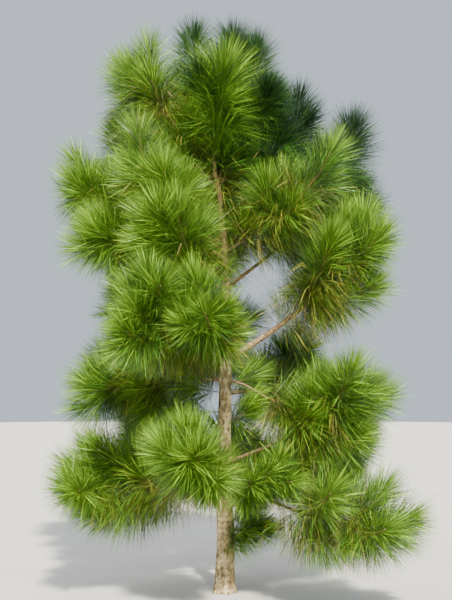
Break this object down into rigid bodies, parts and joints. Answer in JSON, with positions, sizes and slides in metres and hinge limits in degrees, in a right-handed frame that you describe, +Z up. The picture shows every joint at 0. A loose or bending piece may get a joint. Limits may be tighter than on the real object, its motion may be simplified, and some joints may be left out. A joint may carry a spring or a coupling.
{
  "type": "pine tree",
  "caption": "Young long-needled pine with a tapering trunk, boughs in loose whorls and an open crown of brush-like foliage.",
  "frame": {"origin": "middle of the flat cut under the trunk, at ground level", "axes": "+Z up the trunk, +X to the viewer's right in the picture, +Y away from the viewer"},
  "size_m": [2.6947, 2.5407, 4.4948],
  "materials": {
    "trunk_bark": "rough bark",
    "bough_bark": "scaly bark",
    "needles_sunlit": "matte",
    "needles_green": "matte",
    "needles_shaded": "matte"
  },
  "bodies": {
    "root": {"trunk": "trunk_bark", "bough_low_left": "bough_bark", "bough_low_front_left": "bough_bark", "bough_low_front_right": "bough_bark", "bough_low_right": "bough_bark", "bough_low_back_right": "bough_bark", "bough_low_back": "bough_bark", "bough_low_back_left": "bough_bark", "bough_lower_right": "bough_bark", "bough_shaded_left": "bough_bark", "bough_thin_right": "bough_bark", "bough_big_right": "bough_bark", "bough_mid_front_left": "bough_bark", "bough_mid_front": "bough_bark", "bough_mid_back_right": "bough_bark", "bough_mid_back_left": "bough_bark", "bough_far_right": "bough_bark", "bough_upper_left": "bough_bark", "bough_far_left": "bough_bark", "bough_upper_front_left": "bough_bark", "bough_upper_right": "bough_bark", "bough_upper_left_front": "bough_bark", "bough_upper_left_back": "bough_bark", "bough_top_right": "bough_bark", "bough_top_left": "bough_bark", "bough_top_left_outer": "bough_bark", "foliage_low_left": "needles_sunlit", "foliage_low_front_left": "needles_sunlit", "foliage_low_front_right": "needles_green", "foliage_low_right": "needles_sunlit", "foliage_low_back_right": "needles_green", "foliage_low_back": "needles_green", "foliage_low_back_left": "needles_green", "foliage_lower_right": "needles_sunlit", "foliage_shaded_left": "needles_green", "foliage_thin_right": "needles_sunlit", "foliage_big_right": "needles_sunlit", "foliage_mid_front_left": "needles_green", "foliage_mid_front": "needles_green", "foliage_mid_back_right": "needles_green", "foliage_mid_back_left": "needles_green", "foliage_far_right": "needles_shaded", "foliage_upper_left": "needles_sunlit", "foliage_far_left": "needles_sunlit", "foliage_upper_front_left": "needles_sunlit", "foliage_upper_right": "needles_green", "foliage_upper_left_front": "needles_sunlit", "foliage_upper_left_back": "needles_green", "foliage_top_right": "needles_shaded", "foliage_top_left": "needles_sunlit", "foliage_top_left_outer": "needles_sunlit", "foliage_low_stub_right": "needles_green", "foliage_mid_back": "needles_green", "foliage_upper_back": "needles_green", "foliage_upper_back_left": "needles_green", "foliage_upper_back_right": "needles_green", "foliage_top_back_left": "needles_shaded", "foliage_top_back": "needles_shaded", "foliage_top_back_right": "needles_shaded", "foliage_leader": "needles_sunlit"}
  },
  "joints": []
}
